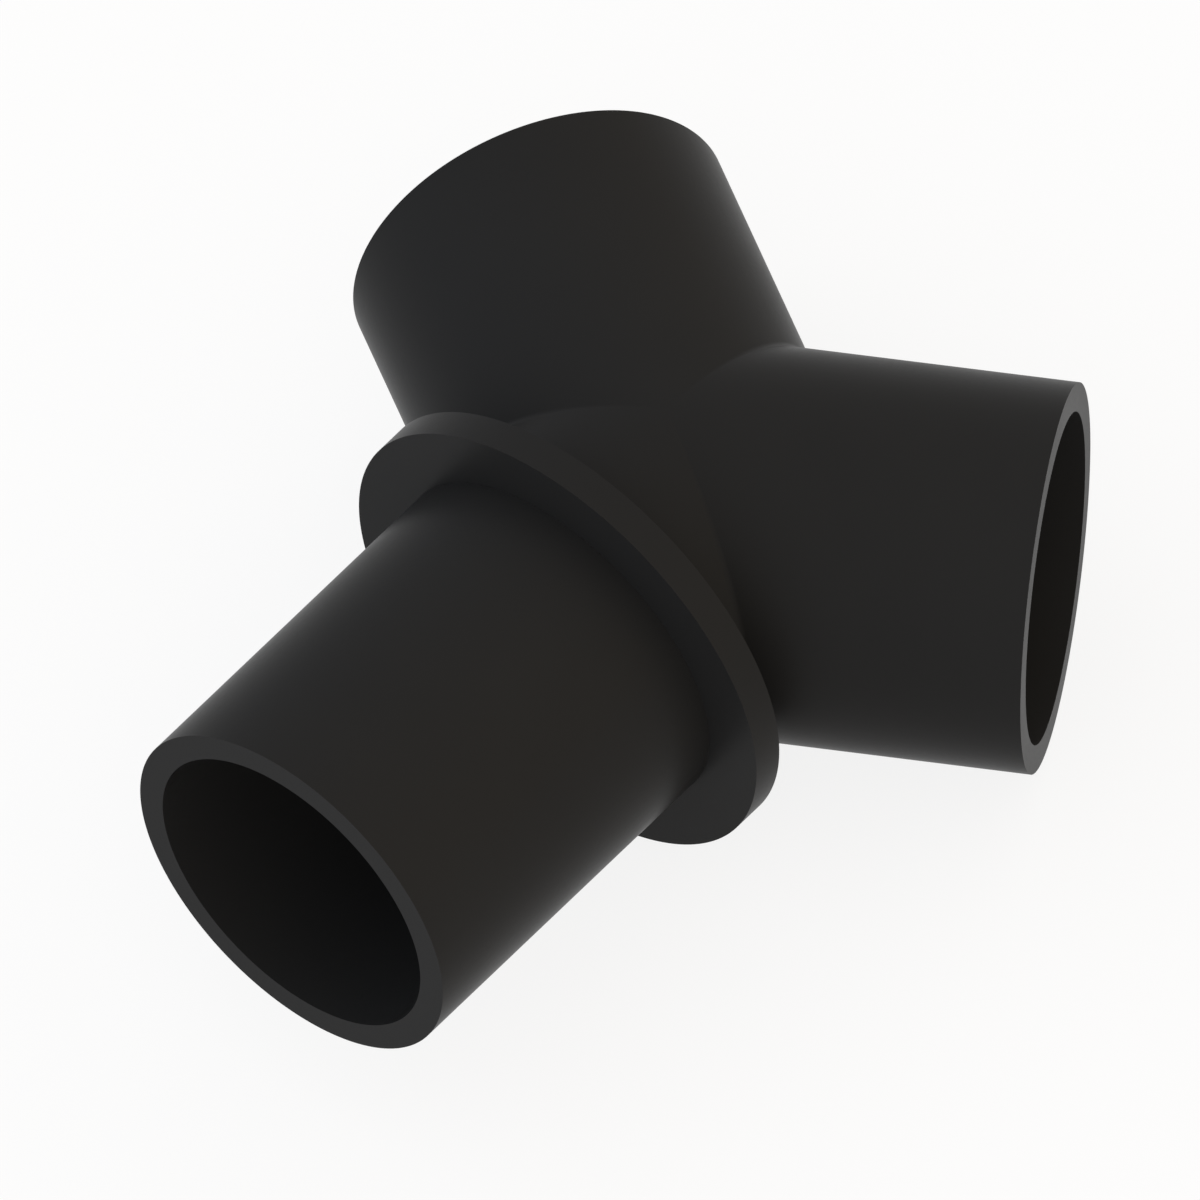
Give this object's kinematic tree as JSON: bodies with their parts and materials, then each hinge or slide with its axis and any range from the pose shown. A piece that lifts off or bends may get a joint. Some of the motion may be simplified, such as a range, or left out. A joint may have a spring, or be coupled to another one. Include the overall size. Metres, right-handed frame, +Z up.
{
  "type": "wye pipe fitting",
  "caption": "Hollow Y-shaped pipe fitting moulded in one piece: equal round tubes meet at even angles, and a flat round collar on one tube stops what is pushed over it.",
  "frame": {"origin": "on the ground under the middle of the part's box, as it lies at rest on the lower edge of its collar and the mouths of its two plain legs", "axes": "+Z is up. +X is level and points the way the collared leg points, which rises from it by about 10 degrees. The two plain legs point back and out to +Y and -Y, and the part is the same on both sides of the XZ plane."},
  "size_m": [0.083, 0.074, 0.0448],
  "materials": {
    "black_moulding": "smooth satin black, as moulded"
  },
  "bodies": {
    "root": {"wye_body": "black_moulding"}
  },
  "joints": []
}
